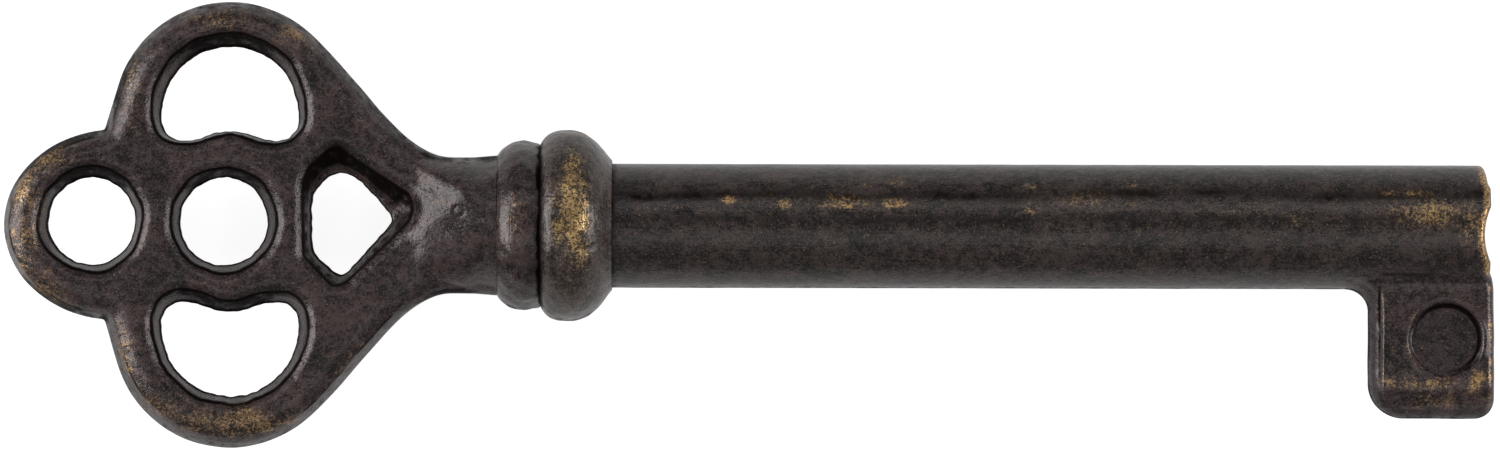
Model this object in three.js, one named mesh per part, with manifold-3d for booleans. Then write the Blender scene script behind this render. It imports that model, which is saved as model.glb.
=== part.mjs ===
// A barrel skeleton key for furniture locks, three inches long, in dark antiqued brass.
// It is built up as such keys are on the bench: an openwork cast bow with a turned tang, a neck ring
// threaded on the tang, a drilled barrel pinned to the tang, a collar driven over the pinned joint,
// and a bit let into a slot in the barrel's mouth and brazed there.
// Units are millimetres. X runs along the key from the bow's tip to the bit, Y across it with the bit
// at -Y, and Z up from the surface that the key lies on, which the collar touches.
import * as THREE from "three";
import { mergeVertices } from "three/addons/utils/BufferGeometryUtils.js";
import Module from "manifold-3d";

const wasm = await Module();
wasm.setup();

// The key as a whole
const keyLength = 76.2; // bow's tip to the bit's front edge
const fitGap = 0.06; // between a piece and the hole or slot that it is fitted into
const overrun = 1; // how far a cut runs past the face that it opens

// Bow: one casting, with five openings, a round neck and a tang
const bowWidth = 22.8;
const bowThickness = 3.6;
const bowEdgeInset = 0.6; // how far the face's edge lies inside the widest outline
const bowEdgeHeight = 1.35; // how far down from the face the edge is rounded
const barWidth = 2.27; // metal between the bow's tip, ring hole, hub hole and spade opening
const openingLift = 0.18; // the openings lie this far above the outline's axis
const lobeHalfLength = 5.73; // end lobe, an ellipse
const lobeHalfWidth = 4.87;
const loopRadius = 5.99; // upper and lower lobes, circles
const loopFromTip = 11.56;
const loopWall = 2.47;
const loopFootDegrees = 163.6; // where the circle runs straight down to the end lobe
const loopHeelDegrees = 50.2; // where the circle turns into the sweep to the neck
const sweepStart = 3.55; // handles of the sweep's curve
const sweepEnd = 2.55;
const ringHoleRadius = 2.23;
const hubHoleRadius = 2.24;
const hubWall = 2.36; // from the hub hole to the hump in the floor of each D-shaped opening
const hubHump = 0.47;
const loopHoleCorner = 1.05;
const spadeHalfSide = 1.5; // half of the spade-shaped opening's straight side
const spadeShoulderAhead = 1.64; // from the straight side to its two shoulders
const spadeShoulderHalf = 2.92;
const spadeLength = 4.38;
const spadeCornerCut = 0.85; // how far from each corner its rounding starts
const spadeToNeck = 2.75; // from the spade's point to where the neck is round
const neckRadius = 3.48;
const neckLength = 2.35; // the round part, up to the shoulder where the neck ring seats
const neckRampLength = 2.7; // over which the neck rises out of the flat bow
const neckFlare = 0.1; // extra radius at the neck ring's seat
const tangRadius = 2;
const tangInBarrel = 9;

// Neck ring: a small turned ring between the bow's shoulder and the barrel
const neckRingLength = 2.2;
const neckRingSwellShare = 0.6; // of its length, from the bow to its widest turn
const neckRingRadius = 4.32;
const neckRingEdgeRadius = 3.7; // at the face against the bow
const neckRingGrooveRadius = 4.15; // at the face against the collar

// Barrel: drilled from its mouth for the lock's post, and from its back for the tang
const barrelRadius = 3.175;
const barrelSetBack = 0.28; // the mouth lies this far behind the bit's front edge
const boreRadius = 2;
const boreShare = 0.577; // of the barrel's length
const drillPointLength = 1.1;
const mouthRound = 0.4;
const mouthScoopDepth = 0.34; // a shallow trough worn across the mouth
const mouthScoopWidth = 3;

// Collar: a turned bead round the pinned joint
const collarLength = 3.68;
const collarRise = 1.735; // crest above the barrel
const collarBackRise = 1.24;
const collarLipRise = 0.245;
const collarBeadRun = 1.2; // from the back face to the crest
const collarCrestLand = 0.6;

// Bit: a plate with rounded edges, a root in the barrel's slot and a round sinking in its upper face
const bitWidth = 6.45; // along the key
const bitDrop = 9.79; // from the barrel's axis to the bit's lower edge
const bitThickness = 3.3;
const bitEdgeInset = 0.5;
const bitEdgeHeight = 0.95;
const bitHeelRadius = 1.8; // lower corner towards the bow
const bitToeRadius = 1;
const bitWebRadius = 1.15; // fillet between the barrel and the bit
const bitRootFromAxis = 1.8;
const bitRootCorner = 0.5;
const sinkingRadius = 1.84;
const sinkingDepth = 0.22;
const sinkingFromFront = 2.5;
const sinkingFromAxis = 5.6;

// Tang pin: a plain pin through barrel and tang, hidden by the collar
const pinRadius = 0.8;
const pinSetBack = 0.15; // its ends lie this far under the barrel's surface

// Places along the key, from the bow's tip
const ringHolePlace = barWidth + ringHoleRadius;
const hubHolePlace = ringHolePlace + ringHoleRadius + barWidth + hubHoleRadius;
const spadePlace = hubHolePlace + hubHoleRadius + barWidth;
const neckPlace = spadePlace + spadeLength + spadeToNeck;
const ringSeatPlace = neckPlace + neckLength;
const barrelBackPlace = ringSeatPlace + neckRingLength;
const collarEndPlace = barrelBackPlace + collarLength;
const tangEndPlace = barrelBackPlace + tangInBarrel;
const pinPlace = (barrelBackPlace + collarEndPlace) / 2;
const bitHeelPlace = keyLength - bitWidth;
const mouthPlace = keyLength - barrelSetBack;

// How finely round work is cut
const turnedSides = 40;
const pinSides = 20;
const swellShares = [0, 0.25, 0.5, 0.75, 1];
const fallShares = [0, 0.2, 0.4, 0.6, 0.8, 1];
const rampShares = [0, 0.15, 0.3, 0.45, 0.6, 0.8, 1];
const lipShares = [0, 0.5, 1];

const bowDark = new THREE.Color(0x3a322d);
const barrelDark = new THREE.Color(0x352e2b);
const rubbedBrass = new THREE.Color(0x6a5334);

function solidOf(geometry) {
  const bare = geometry.clone();
  bare.deleteAttribute("normal");
  bare.deleteAttribute("uv");
  const merged = mergeVertices(bare);
  return new wasm.Manifold(
    new wasm.Mesh({
      numProp: 3,
      vertProperties: merged.attributes.position.array,
      triVerts: new Uint32Array(merged.index.array),
    }),
  );
}

function geometryOf(solid) {
  const mesh = solid.getMesh();
  const geometry = new THREE.BufferGeometry();
  geometry.setAttribute("position", new THREE.BufferAttribute(mesh.vertProperties, 3));
  geometry.setIndex(new THREE.BufferAttribute(mesh.triVerts, 1));
  geometry.computeVertexNormals();
  return geometry;
}

// A solid turned round the key's axis. The profile's points are (place along the key, radius).
function turned(profile) {
  const points = profile.map(([along, radius]) => new THREE.Vector2(radius, along));
  return solidOf(new THREE.LatheGeometry(points, turnedSides).rotateZ(-Math.PI / 2));
}

function rod(from, to, radius) {
  return turned([[from, 0], [from, radius], [to, radius], [to, 0]]);
}

// A round bar along Z.
function uprightBar(x, y, radius, lowZ, highZ, sides) {
  const bar = new THREE.CylinderGeometry(radius, radius, highZ - lowZ, sides).rotateX(Math.PI / 2);
  return solidOf(bar.translate(x, y, (lowZ + highZ) / 2));
}

function box(lowX, highX, lowY, highY, halfHeight) {
  const block = new THREE.BoxGeometry(highX - lowX, highY - lowY, 2 * halfHeight);
  return solidOf(block.translate((lowX + highX) / 2, (lowY + highY) / 2, 0));
}

// A plate of the given thickness, centred on the key's axis plane, whose edges are rounded inwards.
function roundedPlate(shape, thickness, inset, height, roundingSteps) {
  const depth = thickness - 2 * height;
  const plate = new THREE.ExtrudeGeometry(shape, {
    depth,
    bevelThickness: height,
    bevelSize: inset,
    bevelOffset: -inset,
    bevelSegments: roundingSteps,
  });
  return solidOf(plate.translate(0, 0, -depth / 2));
}

// Points on a circle or ellipse. The angles are in degrees and run the way that they are given.
function arc(x, y, radiusX, radiusY, from, to, steps) {
  const start = THREE.MathUtils.degToRad(from);
  const end = THREE.MathUtils.degToRad(to);
  return new THREE.EllipseCurve(x, y, radiusX, radiusY, start, end, end < start).getPoints(steps);
}

function mirrored(points) {
  return points.map((p) => new THREE.Vector2(p.x, -p.y)).reverse();
}

// Where the straight foot of the upper loop meets the end lobe's ellipse.
function creasePoint(foot) {
  const angle = THREE.MathUtils.degToRad(loopFootDegrees);
  const along = new THREE.Vector2(-Math.sin(angle), Math.cos(angle));
  const px = (foot.x - lobeHalfLength) / lobeHalfLength;
  const py = foot.y / lobeHalfWidth;
  const dx = along.x / lobeHalfLength;
  const dy = along.y / lobeHalfWidth;
  const a = dx * dx + dy * dy;
  const b = px * dx + py * dy;
  const c = px * px + py * py - 1;
  const way = (-b - Math.sqrt(Math.max(b * b - a * c, 0))) / a;
  return foot.clone().add(along.multiplyScalar(way));
}

// Upper half of the bow's outline, from the end lobe's tip to the neck.
function upperOutline() {
  const loopY = bowWidth / 2 - loopRadius;
  const loop = arc(loopFromTip, loopY, loopRadius, loopRadius, loopFootDegrees, loopHeelDegrees, 18);
  const crease = creasePoint(loop[0]);
  const creaseAngle = Math.atan2(crease.y / lobeHalfWidth, crease.x / lobeHalfLength - 1);
  const creaseDegrees = THREE.MathUtils.radToDeg(creaseAngle);
  const lobe = arc(lobeHalfLength, 0, lobeHalfLength, lobeHalfWidth, 180, creaseDegrees, 14);
  const heel = loop[loop.length - 1];
  const heelAngle = THREE.MathUtils.degToRad(loopHeelDegrees);
  const sweep = new THREE.CubicBezierCurve(
    heel,
    new THREE.Vector2(heel.x + sweepStart * Math.sin(heelAngle), heel.y - sweepStart * Math.cos(heelAngle)),
    new THREE.Vector2(neckPlace - sweepEnd, neckRadius),
    new THREE.Vector2(neckPlace, neckRadius),
  ).getPoints(12);
  return [...lobe, ...loop, ...sweep.slice(1)];
}

// The D-shaped opening of the upper loop: a round top, two rounded corners and a floor with a hump.
function loopOpening() {
  const radius = loopRadius - loopWall;
  const middleY = bowWidth / 2 - loopRadius;
  const crest = hubHoleRadius + hubWall;
  const floor = crest - hubHump;
  const corner = loopHoleCorner;
  const cornerY = floor + corner;
  const cornerRise = Math.max(cornerY - middleY, 0);
  const cornerX = Math.sqrt((radius - corner) ** 2 - cornerRise ** 2);
  const meet = THREE.MathUtils.radToDeg(Math.atan2(cornerRise, cornerX));
  const round = arc(loopFromTip, middleY, radius, radius, meet, 180 - meet, 18);
  const nearCorner = arc(loopFromTip - cornerX, cornerY, corner, corner, 180 - meet, 270, 5);
  const farCorner = arc(loopFromTip + cornerX, cornerY, corner, corner, 270, 360 + meet, 5);
  const rise = new THREE.CubicBezierCurve(
    new THREE.Vector2(loopFromTip - cornerX, floor),
    new THREE.Vector2(loopFromTip - cornerX / 2, floor),
    new THREE.Vector2(loopFromTip - cornerX / 2, crest),
    new THREE.Vector2(loopFromTip, crest),
  ).getPoints(5);
  const fall = rise.map((p) => new THREE.Vector2(2 * loopFromTip - p.x, p.y)).reverse();
  return [
    ...round,
    ...nearCorner.slice(1),
    ...rise.slice(1),
    ...fall.slice(1, -1),
    ...farCorner.slice(0, -1),
  ];
}

// The spade-shaped opening, whose point is towards the neck.
function spadeOpening() {
  const corners = [
    [0, -spadeHalfSide],
    [spadeShoulderAhead, -spadeShoulderHalf],
    [spadeLength, 0],
    [spadeShoulderAhead, spadeShoulderHalf],
    [0, spadeHalfSide],
  ].map(([ahead, across]) => new THREE.Vector2(spadePlace + ahead, across));
  return corners.flatMap((corner, i) => {
    const before = corners[(i + corners.length - 1) % corners.length];
    const after = corners[(i + 1) % corners.length];
    const start = before.clone().sub(corner).setLength(spadeCornerCut).add(corner);
    const end = after.clone().sub(corner).setLength(spadeCornerCut).add(corner);
    return new THREE.QuadraticBezierCurve(start, corner, end).getPoints(4);
  });
}

function roundOpening(place, radius) {
  return arc(place, 0, radius, radius, 0, 360, 28).slice(1);
}

function bow() {
  const upper = upperOutline();
  const outline = new THREE.Shape([...mirrored(upper.slice(1)), ...upper]);
  const openings = [
    roundOpening(ringHolePlace, ringHoleRadius),
    roundOpening(hubHolePlace, hubHoleRadius),
    loopOpening(),
    mirrored(loopOpening()),
    spadeOpening(),
  ];
  outline.holes = openings.map(
    (points) => new THREE.Path(points.map((p) => new THREE.Vector2(p.x, p.y + openingLift))),
  );
  const openwork = roundedPlate(outline, bowThickness, bowEdgeInset, bowEdgeHeight, 4);
  const rampRadius = bowThickness / 2 - bowEdgeInset;
  const ramp = rampShares.map((share) => [
    neckPlace - (1 - share) * neckRampLength,
    rampRadius + (neckRadius - rampRadius) * Math.sin((share * Math.PI) / 2),
  ]);
  const neckAndTang = turned([
    [neckPlace - neckRampLength, 0],
    ...ramp,
    [(neckPlace + ringSeatPlace) / 2, neckRadius],
    [ringSeatPlace, neckRadius + neckFlare],
    [ringSeatPlace, tangRadius],
    [tangEndPlace, tangRadius],
    [tangEndPlace, 0],
  ]);
  return openwork.add(neckAndTang).subtract(pinHole());
}

function neckRing() {
  const bore = tangRadius + fitGap;
  const swell = neckRingRadius - neckRingEdgeRadius;
  const crown = swellShares.map((share) => [
    ringSeatPlace + share * neckRingSwellShare * neckRingLength,
    neckRingEdgeRadius + swell * Math.sin((share * Math.PI) / 2),
  ]);
  return turned([
    [ringSeatPlace, bore],
    ...crown,
    [barrelBackPlace, neckRingGrooveRadius],
    [barrelBackPlace, bore],
    [ringSeatPlace, bore],
  ]);
}

function collar() {
  const bore = barrelRadius + fitGap;
  const crest = barrelRadius + collarRise;
  const back = barrelRadius + collarBackRise;
  const lip = barrelRadius + collarLipRise;
  const crestStart = barrelBackPlace + collarBeadRun;
  const crestEnd = crestStart + collarCrestLand;
  const bead = swellShares.map((share) => [
    barrelBackPlace + share * collarBeadRun,
    back + (crest - back) * Math.sin((share * Math.PI) / 2),
  ]);
  const fall = fallShares.map((share) => [
    crestEnd + share * (collarEndPlace - crestEnd),
    lip + (crest - lip) * Math.cos((share * Math.PI) / 2),
  ]);
  return turned([
    [barrelBackPlace, bore],
    ...bead,
    ...fall,
    [collarEndPlace, bore],
    [barrelBackPlace, bore],
  ]);
}

// Room for the tang pin in the barrel and in the tang.
function pinHole() {
  const reach = barrelRadius + overrun;
  return uprightBar(pinPlace, 0, pinRadius + fitGap, -reach, reach, pinSides);
}

function barrel() {
  const socketRadius = tangRadius + fitGap;
  const socketEnd = tangEndPlace + fitGap;
  const boreEnd = mouthPlace - boreShare * (mouthPlace - barrelBackPlace);
  const lip = lipShares.map((share) => [
    mouthPlace - mouthRound * (1 - Math.sin((share * Math.PI) / 2)),
    barrelRadius - mouthRound * (1 - Math.cos((share * Math.PI) / 2)),
  ]);
  const tube = turned([
    [socketEnd, 0],
    [socketEnd, socketRadius],
    [barrelBackPlace, socketRadius],
    [barrelBackPlace, barrelRadius],
    ...lip,
    [mouthPlace, boreRadius],
    [boreEnd, boreRadius],
    [boreEnd - drillPointLength, 0],
  ]);
  const reach = barrelRadius + overrun;
  const slot = box(bitHeelPlace - fitGap, mouthPlace + overrun, -reach, 0, bitThickness / 2 + fitGap);
  const scoopRadius = ((mouthScoopWidth / 2) ** 2 + mouthScoopDepth ** 2) / (2 * mouthScoopDepth);
  const scoopPlace = mouthPlace - mouthScoopDepth + scoopRadius;
  const scoop = uprightBar(scoopPlace, 0, scoopRadius, -reach, reach, turnedSides);
  return tube.subtract(slot).subtract(scoop).subtract(pinHole());
}

function bit() {
  const webTop = bitWebRadius - barrelRadius;
  const webPlace = bitHeelPlace - bitWebRadius;
  const heel = bitHeelRadius;
  const toe = bitToeRadius;
  const outline = new THREE.Shape([
    new THREE.Vector2(webPlace, webTop),
    ...arc(webPlace, -barrelRadius - bitWebRadius, bitWebRadius, bitWebRadius, 90, 0, 6),
    ...arc(bitHeelPlace + heel, heel - bitDrop, heel, heel, 180, 270, 6),
    ...arc(keyLength - toe, toe - bitDrop, toe, toe, 270, 360, 5),
    new THREE.Vector2(keyLength, webTop),
  ]);
  const blade = roundedPlate(outline, bitThickness, bitEdgeInset, bitEdgeHeight, 3);
  const barrelRoom = rod(webPlace - overrun, keyLength + overrun, barrelRadius + fitGap);
  const boreRoom = rod(bitHeelPlace - overrun, keyLength + overrun, boreRadius);
  const rootFoot = -barrelRadius - bitRootCorner;
  const corner = bitRootCorner;
  const rootShape = new THREE.Shape([
    new THREE.Vector2(bitHeelPlace, rootFoot),
    new THREE.Vector2(keyLength - bitEdgeInset, rootFoot),
    ...arc(keyLength - bitEdgeInset - corner, -bitRootFromAxis - corner, corner, corner, 0, 90, 4),
    new THREE.Vector2(bitHeelPlace, -bitRootFromAxis),
  ]);
  const root = new THREE.ExtrudeGeometry(rootShape, { depth: bitThickness, bevelEnabled: false });
  const rootBlock = solidOf(root.translate(0, 0, -bitThickness / 2));
  const face = bitThickness / 2;
  const sinkingPlace = keyLength - sinkingFromFront;
  const sinking = uprightBar(
    sinkingPlace, -sinkingFromAxis, sinkingRadius, face - sinkingDepth, face + overrun, turnedSides,
  );
  return blade.subtract(barrelRoom).add(rootBlock).subtract(boreRoom).subtract(sinking);
}

function tangPin() {
  const half = barrelRadius - pinSetBack;
  return uprightBar(pinPlace, 0, pinRadius, -half, half, pinSides);
}

const key = new THREE.Group();
key.position.set(-keyLength / 2, 0, barrelRadius + collarRise);

function addPiece(name, solid, color, roughness) {
  const material = new THREE.MeshStandardMaterial({ color, roughness, metalness: 0.9 });
  const mesh = new THREE.Mesh(geometryOf(solid), material);
  mesh.name = name;
  key.add(mesh);
}

addPiece("bow", bow(), bowDark, 0.42);
addPiece("neck_ring", neckRing(), bowDark, 0.4);
addPiece("collar", collar(), rubbedBrass, 0.38);
addPiece("barrel", barrel(), barrelDark, 0.42);
addPiece("bit", bit(), barrelDark, 0.45);
addPiece("tang_pin", tangPin(), rubbedBrass, 0.4);

export default key;
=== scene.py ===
import math

import bmesh
import bpy
import numpy as np
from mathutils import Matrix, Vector, noise
from mathutils.geometry import delaunay_2d_cdt
from mathutils.kdtree import KDTree


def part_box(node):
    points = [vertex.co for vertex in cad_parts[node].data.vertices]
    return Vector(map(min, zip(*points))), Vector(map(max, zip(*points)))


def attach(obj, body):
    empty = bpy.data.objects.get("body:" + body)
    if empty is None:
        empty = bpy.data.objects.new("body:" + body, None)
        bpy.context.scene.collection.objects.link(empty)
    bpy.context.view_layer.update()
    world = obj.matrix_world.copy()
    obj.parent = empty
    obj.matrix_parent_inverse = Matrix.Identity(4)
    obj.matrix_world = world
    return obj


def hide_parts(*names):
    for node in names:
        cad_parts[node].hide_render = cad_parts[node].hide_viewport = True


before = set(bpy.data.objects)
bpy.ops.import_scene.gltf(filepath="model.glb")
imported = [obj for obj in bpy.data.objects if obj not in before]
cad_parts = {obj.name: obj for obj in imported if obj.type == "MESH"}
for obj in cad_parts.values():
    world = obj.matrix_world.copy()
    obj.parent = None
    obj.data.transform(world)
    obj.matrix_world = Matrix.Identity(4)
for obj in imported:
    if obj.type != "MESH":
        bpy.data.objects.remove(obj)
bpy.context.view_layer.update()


# Bow: one brass casting with a lobed outline and five openings, each with a steep wall and a rounded rim.
# Its outer edge is trimmed to a crisp strip on the left and rounded elsewhere. The neck is round, and the
# tang behind it is turned down to go into the barrel. Lengths are millimetres from the tip and the axis.
mm = 0.001
barrel_low, barrel_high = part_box("barrel")
axis_z = (barrel_low.z + barrel_high.z) / 2
measured_from = np.array([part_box("bow")[0].x, 0.0, axis_z])

bow_half_width = 11.4
face_height = 1.8
parting_half = 0.02
lobe_half_length = 5.73
lobe_half_width = 4.87
loop_radius = 5.99
loop_place = 11.56
loop_across = bow_half_width - loop_radius
loop_foot_degrees = 163.6
loop_heel_degrees = 50.2
sweep_start = 3.55
sweep_end = 2.55
neck_place = 22.88
neck_radius = 3.48
ring_seat_place = 25.23
ring_seat_radius = 3.58
tang_radius = 2.0
tang_end_place = 36.43
opening_lift = 0.18
ring_hole_place = 4.5
ring_hole_radius = 2.23
hub_hole_place = 11.24
hub_hole_radius = 2.24
spade_place = 15.75


def in_frame(points):
    """Turns places from the tip, across and above the axis, in millimetres, into the frame's metres."""
    return np.asarray(points, dtype=float) * mm + measured_from


def arc(place, across, radius, start, end, count, radius_across=None):
    turn = np.radians(np.linspace(start, end, count))
    return np.column_stack([
        place + radius * np.cos(turn), across + (radius_across or radius) * np.sin(turn)])


def circle(place, across, radius, count):
    return arc(place, across, radius, 0, 360, count + 1)[:-1]


def bezier(start, start_handle, end_handle, end, count):
    t = np.linspace(0, 1, count)[:, None]
    points = [np.array(p, dtype=float) for p in (start, start_handle, end_handle, end)]
    weights = [(1 - t) ** 3, 3 * t * (1 - t) ** 2, 3 * t * t * (1 - t), t ** 3]
    return sum(w * p for w, p in zip(weights, points))


def even_points(points, spacing, closed=False, crowding=None):
    """Respaces a path evenly, or closer where crowding is above 1."""
    path = np.vstack([points, points[:1]]) if closed else np.asarray(points, dtype=float)
    steps = np.linalg.norm(np.diff(path, axis=0), axis=1)
    if crowding is not None:
        steps = steps * crowding((path[1:] + path[:-1]) / 2)
    travelled = np.concatenate([[0], np.cumsum(steps)])
    count = max(int(round(travelled[-1] / spacing)), 3)
    marks = np.linspace(0, travelled[-1], count + 1)
    if closed:
        marks = marks[:-1]
    return np.column_stack([np.interp(marks, travelled, path[:, i]) for i in range(path.shape[1])])


def softened(points, passes, closed=False):
    soft = np.array(points, dtype=float)
    for _ in range(passes):
        blurred = (np.roll(soft, -1, axis=0) + 2 * soft + np.roll(soft, 1, axis=0)) / 4
        if not closed:
            blurred[0], blurred[-1] = soft[0], soft[-1]
        soft = blurred
    return soft


def left_of(points, closed=False):
    """Unit vectors to the left of the way that the points run."""
    if closed:
        along = np.roll(points, -1, axis=0) - np.roll(points, 1, axis=0)
    else:
        along = np.gradient(points, axis=0)
    left = np.column_stack([-along[:, 1], along[:, 0]])
    return left / np.linalg.norm(left, axis=1)[:, None]


def from_spot(points, spot):
    return np.linalg.norm(points - spot, axis=1)


def distance_to(points, path, closed=False):
    ends = np.vstack([path, path[:1]]) if closed else path
    starts, run = ends[:-1], np.diff(ends, axis=0)
    squared = (run ** 2).sum(1)
    nearest = np.empty(len(points))
    batch = 2000
    for first in range(0, len(points), batch):
        away = points[first:first + batch, None, :] - starts[None]
        share = np.clip((away * run).sum(2) / squared, 0, 1)
        gap = away - share[..., None] * run
        nearest[first:first + batch] = np.sqrt((gap ** 2).sum(2).min(1))
    return nearest


def nearest_number(points, path):
    """Which of the path's points lies nearest to each of the points."""
    tree = KDTree(len(path))
    for number, (place, across) in enumerate(path):
        tree.insert((place, across, 0), number)
    tree.balance()
    return np.array([tree.find((place, across, 0))[1] for place, across in points])


def inside(points, loop):
    x, y = points[:, 0, None], points[:, 1, None]
    x0, y0 = loop[:, 0], loop[:, 1]
    x1, y1 = np.roll(x0, -1), np.roll(y0, -1)
    rise = np.where(y1 == y0, 1, y1 - y0)
    crosses = ((y0 > y) != (y1 > y)) & (x < (x1 - x0) * (y - y0) / rise + x0)
    return crosses.sum(1) % 2 == 1


def smooth_step(value, low, high):
    t = np.clip((value - low) / (high - low), 0, 1)
    return t * t * (3 - 2 * t)


def peak(value, middle, half_width):
    """1 where the value is at the middle, a third at the half width and nothing farther out."""
    return np.exp(-((value - middle) / half_width) ** 2)


def most(*shares):
    return np.maximum.reduce(shares)


def lumps(points, size, seed):
    """Smooth unevenness from -1 to 1, whose lumps are about so many millimetres across."""
    shift = Vector((17.3 * seed, 5.1 * seed, 9.7 * seed))
    return np.array([noise.noise(Vector(p) / size + shift) for p in points])


def flat(points):
    return np.column_stack([points, np.zeros(len(points))])


def hex_grid(low, high, spacing):
    row_gap = spacing * math.sqrt(3) / 2
    rows = []
    for i, across in enumerate(np.arange(low[1], high[1], row_gap)):
        places = np.arange(low[0] + (i % 2) * spacing / 2, high[0], spacing)
        rows.append(np.column_stack([places, np.full(len(places), across)]))
    return np.vstack(rows)


def turns_left(loop):
    x, y = loop[:, 0], loop[:, 1]
    return (x * np.roll(y, -1) - y * np.roll(x, -1)).sum() > 0


def plate_plan(border, holes, inner_points):
    """Triangulates a plan between its border and its holes, through the given points inside."""
    loops = [loop if turns_left(loop) else loop[::-1] for loop in [border] + holes]
    points = np.vstack(loops + [inner_points])
    faces, start = [], 0
    for loop in loops:
        faces.append(list(range(start, start + len(loop))))
        start += len(loop)
    found = delaunay_2d_cdt([Vector(p) for p in points], [], faces, 1, 1e-5)
    plan = np.array([tuple(v) for v in found[0]])
    triangles = np.array([f for f, origin in zip(found[2], found[5]) if origin == [0]])
    used = np.unique(triangles)
    renumber = np.zeros(len(plan), dtype=int)
    renumber[used] = np.arange(len(used))
    return plan[used], renumber[triangles]


def two_sided(plan, triangles, front, back):
    """Points and faces of both sides of a plate, so high in front of and behind its middle."""
    points = np.vstack([np.column_stack([plan, front]), np.column_stack([plan, -back])])
    return points, triangles.tolist() + (triangles[:, ::-1] + len(plan)).tolist()


def open_edges(triangles):
    """Edges with a triangle on one side only, in the direction in which that triangle runs."""
    edges = np.vstack([triangles[:, [0, 1]], triangles[:, [1, 2]], triangles[:, [2, 0]]])
    seen = dict.fromkeys((a, b) for a, b in edges)
    return [(a, b) for a, b in seen if (b, a) not in seen]


def add_object(name, data):
    thing = bpy.data.objects.new(name, data)
    bpy.context.scene.collection.objects.link(thing)
    return thing


def shade_smooth(mesh, sharp_degrees):
    mesh.polygons.foreach_set("use_smooth", [True] * len(mesh.polygons))
    mesh.set_sharp_from_angle(angle=math.radians(sharp_degrees))


def new_piece(name, points, faces, sharp_degrees):
    """Makes a piece from points in millimetres and puts it in its place in the frame."""
    mesh = bpy.data.meshes.new(name)
    mesh.from_pydata(in_frame(points).tolist(), [], faces)
    work = bmesh.new()
    work.from_mesh(mesh)
    bmesh.ops.remove_doubles(work, verts=work.verts, dist=1e-7)
    bmesh.ops.dissolve_degenerate(work, edges=work.edges, dist=1e-7)
    bmesh.ops.recalc_face_normals(work, faces=work.faces)
    work.to_mesh(mesh)
    work.free()
    shade_smooth(mesh, sharp_degrees)
    return add_object(name, mesh)


def places_of(piece):
    """The piece's points in millimetres from the tip, across and above the axis."""
    points = np.empty(len(piece.data.vertices) * 3)
    piece.data.vertices.foreach_get("co", points)
    return (points.reshape(-1, 3) - measured_from) / mm


def paint(piece, rub_and_highlight, grime_and_shade):
    for layer, shares in (("rub_and_highlight", rub_and_highlight), ("grime_and_shade", grime_and_shade)):
        attribute = piece.data.attributes.new(layer, "FLOAT", "POINT")
        attribute.data.foreach_set("value", np.clip(shares, 0, 1).astype(np.float32))


def patches(points, spots):
    """How much lies on each point, from spots of (place, across, half length, half width, depth)."""
    total = np.zeros(len(points))
    for place, across, half_length, half_width, depth in spots:
        far = ((points[:, 0] - place) / half_length) ** 2 + ((points[:, 1] - across) / half_width) ** 2
        total = np.maximum(total, depth * np.exp(-far))
    return total


def bow_border():
    """The bow's outline, from the lower side of the ring's seat round the tip to its upper side."""
    foot_turn = math.radians(loop_foot_degrees)
    loop = arc(loop_place, loop_across, loop_radius, loop_foot_degrees, loop_heel_degrees, 240)
    foot = loop[0]
    way = np.array([-math.sin(foot_turn), math.cos(foot_turn)])
    scale = np.array([lobe_half_length, lobe_half_width])
    start = (foot - np.array([lobe_half_length, 0])) / scale
    step = way / scale
    a, b, c = step @ step, start @ step, start @ start - 1
    crease = foot + way * (-b - math.sqrt(b * b - a * c)) / a
    crease_turn = math.atan2(crease[1] / lobe_half_width, crease[0] / lobe_half_length - 1)
    lobe = arc(lobe_half_length, 0, lobe_half_length, 180, math.degrees(crease_turn), 160, lobe_half_width)
    heel, heel_turn = loop[-1], math.radians(loop_heel_degrees)
    heel_way = np.array([math.sin(heel_turn), -math.cos(heel_turn)])
    heel_handle, neck_handle = heel + sweep_start * heel_way, (neck_place - sweep_end, neck_radius)
    sweep = bezier(heel, heel_handle, neck_handle, (neck_place, neck_radius), 80)
    neck = np.array([[neck_place + 1.2, neck_radius + 0.01], [ring_seat_place, ring_seat_radius]])
    upper = np.vstack([lobe, loop, sweep[1:], neck])
    whole = np.vstack([(upper * [1, -1])[::-1], upper[1:]])
    return softened(even_points(whole, spacing=0.03), passes=24), crease


bow_path, crease = bow_border()


def crease_crowding(points):
    near = np.minimum(from_spot(points, crease), from_spot(points, crease * [1, -1]))
    return 1 + 4 * peak(near, 0, 0.4)


bow_path = even_points(bow_path, spacing=0.12, crowding=crease_crowding)
bow_inward = -left_of(bow_path)
fixed_ends = smooth_step(ring_seat_place - bow_path[:, 0], 0.0, 2.0)
bow_path = bow_path + bow_inward * (0.02 * lumps(flat(bow_path), 1.6, seed=3) * fixed_ends)[:, None]
bow_path[0], bow_path[-1] = (ring_seat_place, -ring_seat_radius), (ring_seat_place, ring_seat_radius)
bow_inward[0], bow_inward[-1] = (0, 1), (0, -1)


def loop_opening():
    """The D-shaped opening of the upper loop: a round top and a floor with a low hump."""
    radius, corner = 3.52, 1.05
    crest, floor = 4.6, 4.13
    corner_across = floor + corner
    corner_run = math.sqrt((radius - corner) ** 2 - max(corner_across - loop_across, 0) ** 2)
    near, far = loop_place - corner_run, loop_place + corner_run
    round_top = arc(loop_place, loop_across, radius, 0, 180, 120)
    near_corner = arc(near, corner_across, corner, 180, 270, 30)
    far_corner = arc(far, corner_across, corner, 270, 360, 30)
    half_way = (near + loop_place) / 2
    rise = bezier((near, floor), (half_way, floor), (half_way, crest), (loop_place, crest), 30)
    fall = (rise * [-1, 1] + [2 * loop_place, 0])[::-1]
    return np.vstack([round_top, near_corner[1:], rise[1:], fall[1:], far_corner[1:-1]])


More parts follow.
